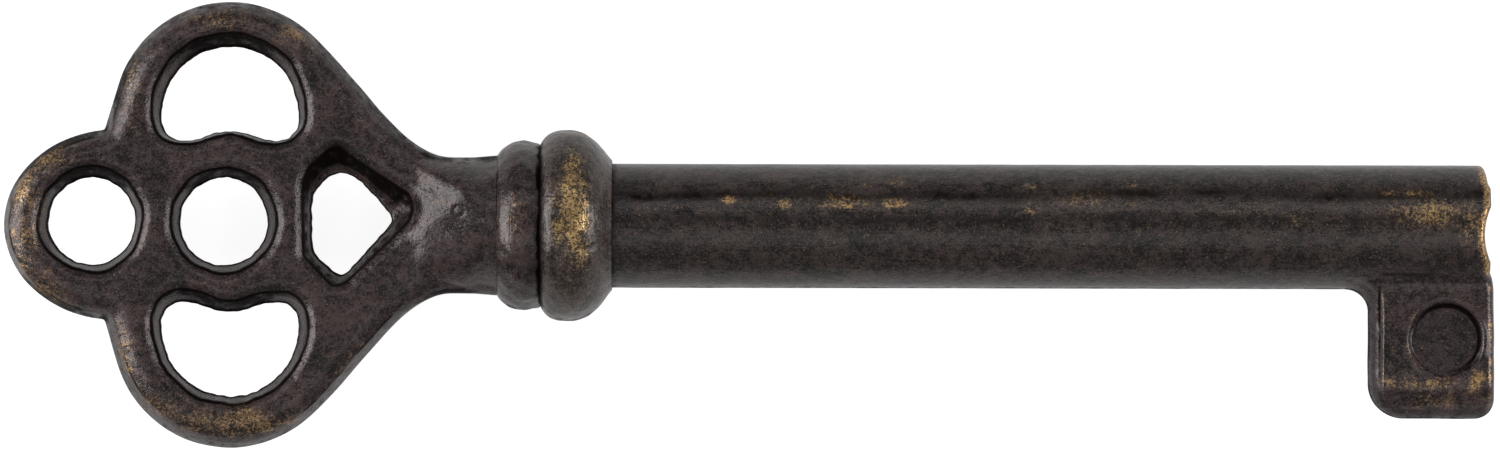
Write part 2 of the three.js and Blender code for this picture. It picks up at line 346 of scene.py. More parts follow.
spade_corners = np.array([
    (0, -1.5), (1.5, -2.92), (4.3, 0.1), (2.3, 2.3), (1.3, 2.62), (0, 1.5)]) + [spade_place, 0]
spade_rim_corners = np.array([
    (15.36, -1.74), (16.83, -3.27), (17.39, -3.22), (20.74, 0.0), (20.97, 0.72), (20.76, 1.38),
    (17.08, 3.78), (16.67, 3.72), (15.6, 2.72), (15.32, 1.94)])
spade_middle = np.array([17.0, 0.1])


def star_rim(inner, corners, rounding):
    """The rim with the given corners, one point out from the middle behind each point of the opening."""
    rim = softened(even_points(corners, spacing=0.03, closed=True), rounding, closed=True) - spade_middle
    turn = np.arctan2(rim[:, 1], rim[:, 0])
    order = np.argsort(turn)
    reach = np.linalg.norm(rim, axis=1)[order]
    own = inner - [0, opening_lift] - spade_middle
    at = np.interp(np.arctan2(own[:, 1], own[:, 0]), turn[order], reach, period=2 * math.pi)
    return own / np.linalg.norm(own, axis=1)[:, None] * at[:, None] + spade_middle + [0, opening_lift]


loop_inner = softened(even_points(loop_opening(), spacing=0.1, closed=True), passes=2, closed=True)
spade_inner = softened(even_points(spade_corners, spacing=0.03, closed=True), passes=360, closed=True)
opening_shapes = [
    circle(ring_hole_place, 0, ring_hole_radius, count=140),
    circle(hub_hole_place, 0, hub_hole_radius, count=140),
    loop_inner,
    (loop_inner * [1, -1])[::-1],
    even_points(spade_inner, spacing=0.09, closed=True),
]
# The width of each opening's sloping wall, and how far its upper rim is shifted along and across.
wall_widths = (0.40, 0.40, 0.36, 0.42, 0.5)
rim_shifts = ((0.0, 0.09), (0.05, 0.06), (-0.02, 0.25), (0.03, 0.09), (0.0, 0.0))
openings = []
for number, shape in enumerate(opening_shapes):
    shape = shape + [0, opening_lift]
    outward = -left_of(shape, closed=True)
    rough = 0.05 * lumps(flat(shape), 1.5, seed=11 + number)
    rough = rough + 0.05 * lumps(flat(shape), 0.35, seed=31 + number)
    shape = shape + outward * rough[:, None]
    reach = wall_widths[number] * (1 + 0.26 * lumps(flat(shape), 1.1, seed=21 + number))
    rim = softened(shape, passes=3, closed=True) + outward * reach[:, None] + rim_shifts[number]
    if number == len(opening_shapes) - 1:
        rim = star_rim(shape, spade_rim_corners, rounding=40)
    openings.append((shape, rim))

# The outer edge: how trimmed each stretch of the outline is, from 0 for round to 1 for a crisp strip, by
# the way that it faces, and how wide that strip is.
facing = np.degrees(np.arctan2(-bow_inward[:, 1], -bow_inward[:, 0])) % 360
trimmed = peak(facing, 198, 42) + 0.9 * peak(facing, 318, 20)
trimmed = np.clip(trimmed + 0.3 * lumps(flat(bow_path), 2.5, seed=5), 0, 1)
on_lobe = 1 - smooth_step(bow_path[:, 0], 4.6, 5.6)
strip_width = 0.42 + 0.1 * smooth_step(-bow_path[:, 1], 3, 5) - 0.1 * on_lobe
strip_width -= 0.13 * peak(facing, 318, 30)

# How high the casting stands, as a share of its full half thickness: in from its outline, and away from
# an opening, up its steep wall and over its rounded rim.
strip_reach = 0.55
edge_reach = (0, 0.02, 0.30, 0.55, 0.60, 0.68, 0.80, 0.95, 1.10, 1.25, 1.40, 1.5)
trimmed_shares = (0.04, 0.10, 0.46, 0.75, 0.787, 0.816, 0.858, 0.907, 0.949, 0.977, 0.994, 1.0)
rounded_shares = (0.06, 0.19, 0.60, 0.774, 0.80, 0.837, 0.884, 0.93, 0.963, 0.986, 0.998, 1.0)
wall_shares = (0, 0.15, 0.72, 1.0)
wall_rise_shares = (0.27, 0.29, 0.64, 0.77)
shoulder_reach = (0, 0.04, 0.09, 0.17, 0.27, 0.37, 0.5, 0.64)
shoulder_shares = (0.77, 0.805, 0.838, 0.877, 0.917, 0.954, 0.987, 1.0)

neck_side = bow_path[(bow_path[:, 1] > 0) & (bow_path[:, 0] > 17)]
ramp_place, ramp_slope, ramp_easing = 20.95, 0.64, 0.22
apex_place, apex_across = 23.6, 1.64
pit, pit_radius, pit_depth = (23.32, 0.72), 0.27, 0.05


def neck_height(points):
    """The neck: a round bar that starts in a flat ramp, whose two slanting sides meet in an apex."""
    place, across = points.T
    half_width = np.interp(place, neck_side[:, 0], neck_side[:, 1])
    flatness = 3.5 - 1.5 * smooth_step(place, 23.2, 24.6)
    crown = np.clip(1 - np.abs(across / half_width) ** flatness, 0, 1) ** (1 / flatness)
    near_side = 0.35 * ((apex_place - place) + (apex_across - across)) / math.sqrt(2)
    far_side = 0.5 * ((apex_place - place) * 0.5 + (across - apex_across) * 0.87)
    radius = neck_radius + (ring_seat_radius - neck_radius) * smooth_step(place, neck_place, ring_seat_place)
    bar = np.maximum(radius * crown - np.clip(most(near_side, far_side), 0, None), face_height * crown)
    past_foot = place - ramp_place + 0.3 * lumps(flat(points), 1.3, seed=45)
    ramp = face_height + ramp_slope * (past_foot + np.sqrt(past_foot ** 2 + ramp_easing ** 2)) / 2
    ramp = ramp + 0.06 * lumps(flat(points), 1.1, seed=44)
    return (bar + ramp - np.sqrt((bar - ramp) ** 2 + 0.06 * crown)) / 2 + 0.08 * crown


def up_wall(to_shape, to_rim):
    """How far up an opening's wall a point lies, from 0 at the opening to 1 at the rim."""
    return to_shape / np.maximum(to_shape + to_rim, 1e-6)


def bow_height(points, seed, pitted):
    away = distance_to(points, bow_path)
    number = nearest_number(points, bow_path)
    width = strip_width[number]
    eased = np.where(away < width, away * strip_reach / width, away - width + strip_reach)
    plate = trimmed[number] * np.interp(eased, edge_reach, trimmed_shares)
    plate = face_height * (plate + (1 - trimmed[number]) * np.interp(away, edge_reach, rounded_shares))
    blend = smooth_step(points[:, 0], 19.0, 21.2)
    height = plate * (1 - blend) + neck_height(points) * blend
    for shape, rim in openings:
        to_rim = distance_to(points, rim, closed=True)
        share = up_wall(distance_to(points, shape, closed=True), to_rim)
        wall = np.interp(share, wall_shares, wall_rise_shares)
        shoulder = np.interp(to_rim, shoulder_reach, shoulder_shares)
        height = height * np.where(inside(points, rim), wall, shoulder)
    uneven = 0.03 * lumps(flat(points), 2.4, seed) + 0.03 * lumps(flat(points), 0.9, seed + 1)
    uneven = uneven + 0.012 * lumps(flat(points), 0.4, seed + 2)
    if pitted:
        uneven = uneven - pit_depth * peak(from_spot(points, pit), pit_radius, 0.07)
    seat = smooth_step(ring_seat_place - points[:, 0], 0, 1.0)
    return np.maximum(height + uneven * np.clip(away / 0.4, 0, 1) * seat, parting_half)


edge_steps = (0.02, 0.08, 0.16, 0.25, 0.35, 0.45, 0.52, 0.57, 0.62, 0.68, 0.76, 0.86, 0.97, 1.1, 1.25, 1.42)
shoulder_steps = (0.04, 0.09, 0.17, 0.27, 0.37, 0.5)
wall_steps = (0.08, 0.16, 0.3, 0.45, 0.6, 0.74, 0.87, 1.0)
pit_steps = (-0.2, -0.13, -0.06, 0.0, 0.06, 0.13, 0.2)


def bow_inner_points():
    """Points in rows along every edge, where the surface turns, and a grid between them."""
    kept = []
    width = strip_width[:, None]
    rings = []
    for step in edge_steps:
        away = step * width / strip_reach if step < strip_reach else width + step - strip_reach
        rings.append(bow_path + bow_inward * away)
    rings = np.vstack(rings)
    rings = rings[rings[:, 0] < ring_seat_place - 0.06]
    grid = hex_grid((0, -bow_half_width), (ring_seat_place - 0.1, bow_half_width), spacing=0.2)
    grid = grid[inside(grid, bow_path)]
    grid = grid[distance_to(grid, bow_path) > edge_steps[-1] + 0.1]
    grid = grid[from_spot(grid, pit) > pit_radius + 0.25]
    for points, guard in ((rings, 0.05), (grid, 0.1)):
        for shape, rim in openings:
            near = inside(points, rim) | (distance_to(points, rim, closed=True) < shoulder_steps[-1] + guard)
            points = points[~near]
        kept.append(points)
    for shape, rim in openings:
        outward = -left_of(rim, closed=True)
        kept += [shape + (rim - shape) * share for share in wall_steps]
        kept += [rim + outward * step for step in shoulder_steps]
    kept += [circle(*pit, pit_radius + step, count=24) for step in pit_steps]
    return np.vstack(kept)


seat_steps = np.concatenate([edge_steps, np.arange(edge_steps[-1] + 0.2, ring_seat_radius - 0.1, 0.2)])
seat_line = np.concatenate([ring_seat_radius - seat_steps, [0], (seat_steps - ring_seat_radius)[::-1]])
seat_points = np.column_stack([np.full(len(seat_line), ring_seat_place), seat_line])
bow_loop = np.vstack([bow_path, seat_points])
bow_plan, bow_triangles = plate_plan(bow_loop, [shape for shape, rim in openings], bow_inner_points())
bow_count = len(bow_plan)
bow_front = bow_height(bow_plan, seed=40, pitted=True)
bow_back = bow_height(bow_plan, seed=50, pitted=False)
bow_points, bow_faces = two_sided(bow_plan, bow_triangles, bow_front, bow_back)
tang_points, tang_faces = [], []
tang_start = len(bow_points)
tang_numbers = {}


def tang_number(number):
    """The tang's two points that lie behind a point on the edge of the neck's end."""
    if number not in tang_numbers:
        place, across, height = bow_points[number]
        turn = math.atan2(height, across)
        tang_numbers[number] = tang_start + len(tang_points)
        for end in (ring_seat_place, tang_end_place):
            tang_points.append((end, tang_radius * math.cos(turn), tang_radius * math.sin(turn)))
    return tang_numbers[number]


seat_edges = []
for a, b in open_edges(bow_triangles):
    if min(bow_plan[a][0], bow_plan[b][0]) > ring_seat_place - 1e-4:
        seat_edges += [(b, a), (a + bow_count, b + bow_count)]
    else:
        bow_faces.append([b, a, a + bow_count, b + bow_count])
for path_end in (0, -1):
    corner = int(np.argmin(from_spot(bow_plan, bow_path[path_end])))
    seat_edges.append((corner, corner + bow_count))
tang_rim = []
for c, d in seat_edges:
    near_c, near_d = tang_number(c), tang_number(d)
    tang_faces += [[c, d, near_d, near_c], [near_c, near_d, near_d + 1, near_c + 1]]
    tang_rim.append((near_c + 1, near_d + 1))
tang_tip = tang_start + len(tang_points)
tang_points.append((tang_end_place, 0, 0))
tang_faces += [[c, d, tang_tip] for c, d in tang_rim]
bow_points = np.vstack([bow_points, tang_points])
bow = new_piece("bow_casting", bow_points, bow_faces + tang_faces, sharp_degrees=50)


def add_node(tree, kind, inputs, **settings):
    """Adds a shader node. Each of its inputs is given a number, a colour or another node's output."""
    node = tree.nodes.new(kind)
    for setting, value in settings.items():
        setattr(node, setting, value)
    for socket, value in inputs.items():
        if isinstance(value, bpy.types.NodeSocket):
            tree.links.new(value, node.inputs[socket])
        else:
            node.inputs[socket].default_value = value
    return node


def maths(tree, how, *values):
    return add_node(tree, "ShaderNodeMath", dict(enumerate(values)), operation=how).outputs[0]


def patina(name, brown, gold, shine, grain, scratches):
    """Dark patina over cast brass, worn through to gold where the piece is painted as rubbed.

    The skin has a grain of about a tenth of a millimetre, with sparse pits, painted glints and fine
    scratches, given as (degrees, width, length, strength). Painted shade and grime darken and dull the
    creases and edges, and the gold layer also carries a few painted highlights.
    """
    material = bpy.data.materials.new(name)
    material.use_nodes = True
    tree = material.node_tree
    skin = tree.nodes["Principled BSDF"]
    place = tree.nodes.new("ShaderNodeTexCoord").outputs["Object"]

    def noise_of(size, detail, roughness=0.55):
        inputs = {"Scale": 1 / (size * mm), "Detail": detail, "Roughness": roughness, "Vector": place}
        return add_node(tree, "ShaderNodeTexNoise", inputs).outputs["Fac"]

    def painted(layer):
        return add_node(tree, "ShaderNodeAttribute", {}, attribute_name=layer).outputs["Fac"]

    def stretched(value, low, high, to_low=0.0, to_high=1.0):
        inputs = {"Value": value, "From Min": low, "From Max": high, "To Min": to_low, "To Max": to_high}
        node = add_node(tree, "ShaderNodeMapRange", inputs, interpolation_type="SMOOTHSTEP")
        return node.outputs["Result"]

    def total(first, *others):
        for other in others:
            first = maths(tree, "ADD", first, other)
        return first

    def times(first, second):
        return maths(tree, "MULTIPLY", first, second)

    def swing(value, amount):
        """How far the value lies from its middle, enlarged."""
        return maths(tree, "MULTIPLY_ADD", value, amount, -amount / 2)

    def mixed(share, first, second):
        inputs = {"Factor": share, "A": first, "B": second}
        return add_node(tree, "ShaderNodeMix", inputs, data_type="RGBA").outputs["Result"]

    def shade(colour, amount):
        return (*(min(c * amount, 1) for c in colour), 1)

    clouds = noise_of(1.8, 2)
    mottle = noise_of(0.45, 3)
    grit = noise_of(0.24, 3, 0.65)
    speckle = noise_of(0.12, 3, 0.6)
    fine = noise_of(0.06, 2, 0.6)
    sparse = noise_of(0.19, 1)
    glints = noise_of(0.1, 1)
    degrees, width, length, strength = scratches
    along_scratches = add_node(tree, "ShaderNodeMapping", {
        "Rotation": (0, 0, math.radians(degrees)), "Scale": (length * mm, width * mm, length * mm),
        "Vector": place}, vector_type="TEXTURE").outputs["Vector"]
    scratch = add_node(tree, "ShaderNodeTexNoise", {"Scale": 1, "Detail": 1, "Vector": along_scratches})
    scratched = swing(scratch.outputs["Fac"], strength)

    grains = total(swing(speckle, 0.6), swing(fine, 0.3), swing(clouds, 0.5), scratched)
    grains = total(grains, swing(mottle, 0.5), swing(grit, 0.5))
    tone = mixed(stretched(grains, -0.2, 0.2), shade(brown, 0.2), shade(brown, 2.1))
    pits = stretched(sparse, 0.68, 0.76)
    tone = mixed(pits, tone, shade(brown, 0.2))
    # Painted glints: sparse light specks in the base colour.
    tone = mixed(stretched(glints, 0.32, 0.26, 0, 0.9), tone, shade(gold, 0.42))
    # Painted shade and grime from the grime layer darken the colour and dull the surface.
    soot_and_shade = stretched(total(painted("grime_and_shade"), swing(mottle, 0.7), swing(speckle, 0.5)), 0.1, 0.7)
    tone = mixed(soot_and_shade, tone, shade(brown, 0.3))
    reach = stretched(total(painted("rub_and_highlight"), swing(mottle, 0.6)), 0.1, 0.8)
    veins = total(swing(speckle, 0.5), swing(fine, 0.2), swing(grit, 0.8))
    worn = times(reach, stretched(total(veins, times(reach, 0.22)), 0.06, 0.26, 0.12, 1.0))
    gold_grains = total(swing(speckle, 0.8), swing(fine, 0.7))
    gold_tone = mixed(stretched(gold_grains, -0.2, 0.2), shade(gold, 0.3), shade(gold, 1.2))
    tree.links.new(mixed(worn, tone, gold_tone), skin.inputs["Base Color"])
    bare = maths(tree, "MAXIMUM", worn, soot_and_shade)
    tree.links.new(stretched(bare, 0, 1, 0.25, 1.0), skin.inputs["Metallic"])
    skin.inputs["Specular IOR Level"].default_value = 0.6
    dullness = total(swing(mottle, 0.3), swing(speckle, 0.2), shine, times(worn, 0.12), times(soot_and_shade, 0.45))
    tree.links.new(dullness, skin.inputs["Roughness"])
    relief = total(swing(speckle, 0.35), swing(fine, 0.1), swing(mottle, 1.2), scratched, times(pits, -0.6))
    bump = add_node(tree, "ShaderNodeBump", {"Strength": 1.0, "Distance": grain * mm, "Height": relief})
    tree.links.new(bump.outputs["Normal"], skin.inputs["Normal"])
    return material


def dress(piece, material, slot_name, *nodes_replaced):
    piece.data.materials.append(material)
    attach(piece, "root")
    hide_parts(*nodes_replaced)


bow_brown = (0.037, 0.0235, 0.0238)
bow_gold = (0.5, 0.325, 0.165)
bow_scratches = (20, 0.07, 1.4, 0.15)
bow_spots = [
    (1.3, 0.2, 0.9, 3.6, 0.8),
    (2.3, -3.1, 1.3, 1.2, 0.7),
    (2.6, 3.3, 1.4, 0.8, 0.75),
    (11.2, 10.4, 2.6, 0.7, 0.5),
    (14.6, 9.6, 1.6, 0.9, 0.55),
    (8.2, -8.9, 1.8, 1.2, 0.55),
    (12.0, -9.9, 3.0, 0.8, 1.1),
    (6.4, -6.4, 0.9, 1.6, 0.55),
    (17.4, -6.8, 1.4, 0.8, 0.4),
    (6.7, 6.2, 0.6, 2.4, 0.5),
]
# Patches of painted shade: in the lobes' creases, under the neck and at the spade's far corner.
crease_shade = [(crease[0], side * crease[1], 0.3, 0.3, 0.8) for side in (-1, 1)]
under_neck_shadow = [(22.8, -3.5, 1.9, 1.5, 1.1)]
spade_corner_shade = [(17.1, 3.8, 0.6, 0.6, 0.6)]


def bow_wear(points):
    """Gold on the shoulder inside the strip, and painted shade along the edges, in creases and in the
    openings.
    """
    place, across, height = points.T
    spread = points[:, :2]
    to_border = distance_to(spread, bow_path)
    nearest = nearest_number(spread, bow_path)
    past_strip = to_border - strip_width[nearest]
    on_plate = 1 - smooth_step(place, 19.5, 21.0)
    on_shoulder = peak(past_strip, 0, 0.4) * on_plate
    rub_and_highlight = patches(points, bow_spots) * (0.7 + 0.3 * on_shoulder) + 0.12 * on_shoulder
    rub_and_highlight = rub_and_highlight * (0.8 + 0.4 * lumps(points, 1.1, seed=62))
    rub_and_highlight = rub_and_highlight * (0.5 + 0.5 * smooth_step(np.abs(height), 0.3, 1.0))

    blotchy = np.clip(0.75 + 0.8 * lumps(points, 0.8, seed=61), 0, 1)
    thinned = 0.6 + 0.4 * blotchy
    # A painted dark line of shade where the crisp strip meets the shoulder, weaker on the back.
    faces_up = 0.35 + 0.65 * smooth_step(height, -0.5, 0.5)
    shade_beside_strip = 0.85 * trimmed[nearest] * peak(past_strip, 0, 0.06) * on_plate * blotchy * faces_up
    # Painted shade on the steep strip of the lobe and the upper loop, set by the way each stretch faces.
    lobe_side_shade = 0.75 * peak(facing[nearest], 118, 38) + 0.75 * peak(facing[nearest], 238, 26)
    loop_side_shade = 0.6 * peak(facing[nearest], 160, 28) * smooth_step(across, 3, 5)
    side_shade = np.where(place < 5.6, lobe_side_shade * on_lobe[nearest], loop_side_shade)
    side_shade = side_shade * (1 - smooth_step(to_border, 0.3, 0.5)) * (0.6 + 0.5 * blotchy)
    # A painted shadow line along the neck's near edge.
    shadow_under_neck = peak(to_border, 0, 0.3) * patches(points, under_neck_shadow)
    shadow_under_neck = shadow_under_neck * smooth_step(height, -0.4, 0.9) * thinned
    # Painted shade along every outer edge, a little darker where the edge faces the far side.
    faces_far = smooth_step(np.sin(np.radians(facing[nearest])), 0.1, 0.7)
    edge_shade = (0.28 + 0.14 * faces_far) * (1 - smooth_step(to_border, 0.25, 0.5)) * (0.5 + 0.6 * blotchy)
    grime_and_shade = most(shade_beside_strip, side_shade, patches(points, crease_shade), shadow_under_neck, edge_shade)
    # In each of the other openings: painted shade on the walls at its far side, a painted dark line of shade
    # at the rim and another at the foot of the wall.
    for shape, rim in openings[:-1]:
        to_rim = distance_to(spread, rim, closed=True)
        to_rim = np.where(inside(spread, rim), -to_rim, to_rim)
        to_shape = distance_to(spread, shape, closed=True)
        far_share = (across - shape[:, 1].mean()) / from_spot(spread, shape.mean(axis=0))
        far_wall_shade = 0.65 * smooth_step(far_share, 0.35, 0.9) * (to_rim < 0.1)
        opening_wall_shade = most(peak(to_rim, 0.07, 0.09), far_wall_shade) * thinned
        grime_and_shade = most(grime_and_shade, opening_wall_shade, 0.9 * peak(to_shape, 0, 0.07))
    # The spade's wide walls keep a clean ledge at the opening, with a painted dark line at its foot, and
    # painted shade above it, thickest on the far side.
    shape, rim = openings[-1]
    to_rim = distance_to(spread, rim, closed=True)
    to_shape = distance_to(spread, shape, closed=True)
    spade_shade_strength = 0.4 + 0.25 * smooth_step(across, 0.5, 2.0) + 0.4 * lumps(flat(spread), 0.4, seed=63)
    spade_wall_shade = smooth_step(up_wall(to_shape, to_rim), 0.3, 0.5) * np.clip(spade_shade_strength, 0.2, 1)
    spade_wall_shade = spade_wall_shade + peak(to_shape, 0, 0.07)
    grime_and_shade = np.where(inside(spread, rim), most(grime_and_shade, spade_wall_shade), grime_and_shade)
    # A painted dark line of shade round the spade's rim, and a patch of painted shade at its far corner.
    return rub_and_highlight, most(grime_and_shade, 0.85 * peak(to_rim, 0, 0.08), patches(points, spade_corner_shade))


paint(bow, *bow_wear(places_of(bow)))
bow_patina = patina("bow_patina", bow_brown, bow_gold, shine=0.18, grain=0.045, scratches=bow_scratches)
dress(bow, bow_patina, "bow_brass", "bow")


# Neck ring: a small turned ring threaded on the tang, with a rounded crown that falls to the groove in
# front of the collar. It is brass with the same patina as the bow.
ring_end_place = 27.43
fit_gap = 0.06
ring_crown = (
    (0, 3.58), (0.1, 3.72), (0.22, 3.86), (0.34, 3.95), (0.54, 4.09), (0.77, 4.2), (1.02, 4.27), (1.28, 4.31),
    (1.55, 4.27), (1.8, 4.21), (2.0, 4.17), (2.14, 4.12), (2.2, 4.08))
ring_spots = [(26.2, 0.4, 0.9, 2.2, 1.0)]
turning_marks = (90, 0.08, 1.2, 0.2)


def fine_profile(points, spacing):
    """Adds points along the profile's straight runs, so that no step is longer than the spacing."""
    profile = [points[0]]
    for start, end in zip(points[:-1], points[1:]):
        count = max(int(math.ceil(math.dist(start, end) / spacing)), 1)
        for i in range(1, count + 1):
            profile.append(tuple(a + (b - a) * i / count for a, b in zip(start, end)))
    return profile


def rounded_run(points, spacing):
    """Draws a smooth curve through the points of a profile."""
    along, radius = np.array(points).T
    slope = np.gradient(radius, along)
    run = []
    for i in range(len(along) - 1):
        step = along[i + 1] - along[i]
        count = max(int(round(step / spacing)), 1)
        for j in range(count + (i == len(along) - 2)):
            t = j / count
            weights = ((1 + 2 * t) * (1 - t) ** 2, t * (1 - t) ** 2, t * t * (3 - 2 * t), t * t * (t - 1))
            ends = (radius[i], slope[i] * step, radius[i + 1], slope[i + 1] * step)
            run.append((float(along[i] + t * step), float(sum(w * e for w, e in zip(weights, ends)))))
    return run


def bead_profile(start, end, bore, end_bore, crown):
    """A bead's bore and the crown over it, whose points are given from the bead's start."""
    outside = [(start + along, radius) for along, radius in rounded_run(crown, 0.08)]
    return [(start, bore)] + outside + [(end, end_bore), (start, bore)]


def turned(name, profile, sides, waver=0, seed=0):
    """Turns a profile of (place, radius) round the key's axis, with a slightly wavering surface."""
    points, rows = [], []
    closed = profile[0] == profile[-1]
    for place, radius in profile[:-1] if closed else profile:
        if radius < 1e-6:
            rows.append([len(points)] * sides)
            points.append((place, 0.0, 0.0))
            continue
        rows.append(list(range(len(points), len(points) + sides)))
        for i in range(sides):
            turn = 2 * math.pi * i / sides
            points.append((place, radius * math.cos(turn), radius * math.sin(turn)))
    points = np.array(points)
    if waver:
        swell = 0.6 * lumps(points, 1.6, seed) + 0.4 * lumps(points, 0.7, seed + 1)
        swell = waver * (swell + 0.13 * lumps(points, 0.4, seed + 2))
        radius = np.maximum(np.linalg.norm(points[:, 1:], axis=1), 1e-6)
        points[:, 1:] *= (1 + swell / radius)[:, None]
    faces = []
    for near, far in zip(rows, rows[1:] + rows[:1] if closed else rows[1:]):
        for i in range(sides):
            j = (i + 1) % sides
            faces.append(list(dict.fromkeys((near[i], near[j], far[j], far[i]))))
    return new_piece(name, points, faces, sharp_degrees=35)


def near_side_shade(points):
    """Where a turned piece faces the near side: a thin line of painted shadow lies there."""
    faces_near = -points[:, 1] / np.maximum(np.linalg.norm(points[:, 1:], axis=1), 1e-6)
    return smooth_step(faces_near, 0.96, 0.99) * smooth_step(points[:, 2], -0.9, 0.2)


ring_bore = tang_radius + fit_gap
ring_profile = bead_profile(ring_seat_place, ring_end_place, ring_bore, ring_bore, ring_crown)
ring_profile = fine_profile(ring_profile, spacing=0.15)
neck_ring = turned("neck_ring_turned", ring_profile, sides=168, waver=0.15, seed=60)
ring_places = places_of(neck_ring)
front_grime = 0.45 * peak(ring_places[:, 0], ring_seat_place, 0.14)
seam_grime = peak(ring_places[:, 0], ring_end_place, 0.22)
# Dark joint lines at both ends, and a thin line of painted shadow along the near side.
ring_grime_and_shade = most(front_grime, seam_grime, 0.6 * near_side_shade(ring_places))
ring_grime_and_shade = ring_grime_and_shade * np.clip(0.6 + 0.9 * lumps(ring_places, 0.7, seed=64), 0, 1)
paint(neck_ring, 0.35 * patches(ring_places, ring_spots), ring_grime_and_shade)
ring_patina = patina(
    "neck_ring_patina", bow_brown, bow_gold, shine=0.18, grain=0.035, scratches=turning_marks)
dress(neck_ring, ring_patina, "ring_brass", "neck_ring")


# Collar: a turned brass bead driven over the pinned joint. It rises to its crest near the bow and falls
# in a long curve to a thin lip on the barrel. Hands have rubbed the patina off its crest.
collar_place = ring_end_place
crest_place = 29.1
collar_end_place = 31.11
barrel_radius = 3.175
lip_gap = 0.02
collar_crown = (
    (0, 4.12), (0.05, 4.24), (0.12, 4.36), (0.28, 4.54), (0.52, 4.71), (0.8, 4.82), (1.15, 4.88), (1.5, 4.9),
    (1.85, 4.85), (2.15, 4.75), (2.45, 4.6), (2.75, 4.38), (3.05, 4.1), (3.3, 3.79), (3.5, 3.52), (3.6, 3.4),
    (3.66, 3.34))
collar_spots = [
    (29.2, 1.2, 0.75, 2.8, 1.0),
    (28.5, 0.4, 0.5, 1.8, 0.7),
    (29.5, -0.4, 0.5, 1.8, 0.9),
]
collar_brown = (0.041, 0.0285, 0.0245)
collar_gold = (0.64, 0.43, 0.2)

collar_profile = bead_profile(
    collar_place, collar_end_place, barrel_radius + fit_gap, barrel_radius + lip_gap, collar_crown)
collar_profile = fine_profile(collar_profile, spacing=0.14)
collar = turned("collar_bead", collar_profile, sides=180, waver=0.1, seed=70)
collar_places = places_of(collar)
crest_rub = 0.2 * peak(collar_places[:, 0], crest_place, 0.7)
collar_rub = most(patches(collar_places, collar_spots), crest_rub)
collar_rub = collar_rub * (0.95 + 0.9 * lumps(collar_places, 0.8, seed=72))
# Dark joint lines at the back and at the lip, and a thin line of painted shadow along the near side.
back_grime_and_shade = most(0.8 * peak(collar_places[:, 0], collar_place, 0.16), 0.5 * near_side_shade(collar_places))
back_grime_and_shade = back_grime_and_shade * (0.8 + 0.5 * lumps(collar_places, 0.7, seed=74))
lip_grime = 0.8 * peak(collar_places[:, 0], collar_end_place + 0.05, 0.06)
paint(collar, collar_rub, most(back_grime_and_shade, lip_grime))
collar_patina = patina(
    "collar_patina", collar_brown, collar_gold, shine=0.18, grain=0.035, scratches=turning_marks)
dress(collar, collar_patina, "collar_brass", "collar")


# Barrel: a round brass bar with a slightly lumpy skin, drilled from its back for the tang and from its
# mouth for the lock's post. The mouth's edge is rounded and worn into a shallow trough.
mouth_place = 75.92
bore_radius = 2.0
bore_end_place = 47.94
drill_point = 1.1
mouth_round = 0.4
trough_across = -0.36
trough_half_width = 1.42
trough_depth = 0.33
mouth_wear_length = 1.0
slot_half = 1.71
bit_heel_place = 69.75
barrel_spots = [
    (37.1, 1.33, 0.5, 0.25, 0.75),
    (39.9, 1.07, 0.6, 0.35, 0.95),
    (41.8, 1.3, 4.6, 0.55, 0.42),
    (54.5, 1.4, 4.0, 0.9, 0.36),
    (43.1, 1.07, 0.4, 0.25, 0.7),
    (43.9, 1.18, 0.3, 0.25, 0.7),
    (45.5, 1.2, 0.75, 0.3, 1.0),
    (44.1, 2.1, 0.4, 0.2, 0.65),
    (45.5, 2.25, 0.6, 0.3, 0.7),
    (52.6, 2.1, 0.5, 0.2, 0.5),
    (52.4, 0.8, 0.3, 0.2, 0.6),
    (54.6, 2.5, 0.6, 0.2, 0.5),
    (57.3, 1.1, 0.6, 0.25, 0.5),
    (57.5, 2.1, 0.5, 0.2, 0.45),
    (63.0, 0.9, 3.0, 0.5, 0.38),
    (66.3, 0.5, 1.0, 0.6, 0.5),
    (71.8, 1.75, 3.0, 0.25, 0.5),
    (72.6, 0.8, 2.6, 1.0, 0.48),
    (74.8, 0.3, 0.6, 1.2, 0.6),
]
far_line = 1.62
near_line = 0.4
barrel_braze_end = -2.45
barrel_brown = (0.0305, 0.0212, 0.0195)
barrel_gold = (0.53, 0.345, 0.17)
drawing_marks = (0, 0.12, 2.0, 0.2)

joint_radius = tang_radius + fit_gap
skin_radius = barrel_radius - 0.004
barrel_profile = [(tang_end_place + fit_gap, 0.0), (tang_end_place + fit_gap, joint_radius)]
barrel_profile += fine_profile([
    (tang_end_place, joint_radius), (collar_place, joint_radius), (collar_place, skin_radius)], 1.0)
barrel_profile += fine_profile([
    (collar_place + 0.1, skin_radius), (mouth_place - mouth_round - 0.1, skin_radius)], 0.25)
for turn in np.linspace(0, 1, 8) * math.pi / 2:
    barrel_profile.append((
        mouth_place - mouth_round * (1 - math.sin(turn)), skin_radius - mouth_round * (1 - math.cos(turn))))
barrel_profile += fine_profile([(mouth_place, 2.7), (mouth_place, bore_radius + 0.06)], 0.12)
barrel_profile += fine_profile([(mouth_place - 0.06, bore_radius), (mouth_place - 0.6, bore_radius)], 0.12)
barrel_profile += fine_profile([(mouth_place - 2, bore_radius), (bore_end_place, bore_radius)], 2.0)
barrel_profile.append((bore_end_place - drill_point, 0.0))
barrel = turned("barrel_tube", barrel_profile, sides=168, waver=0.012, seed=80)


def mouth_wear(across):
    """How far the mouth's edge is worn back: in its trough, and at its far corner."""
    trough = trough_depth * np.clip(1 - ((across - trough_across) / trough_half_width) ** 2, 0, 1)
    return trough + 0.14 * smooth_step(across, 1.95, 2.3) + 0.08 * smooth_step(across, 2.3, 3.1)


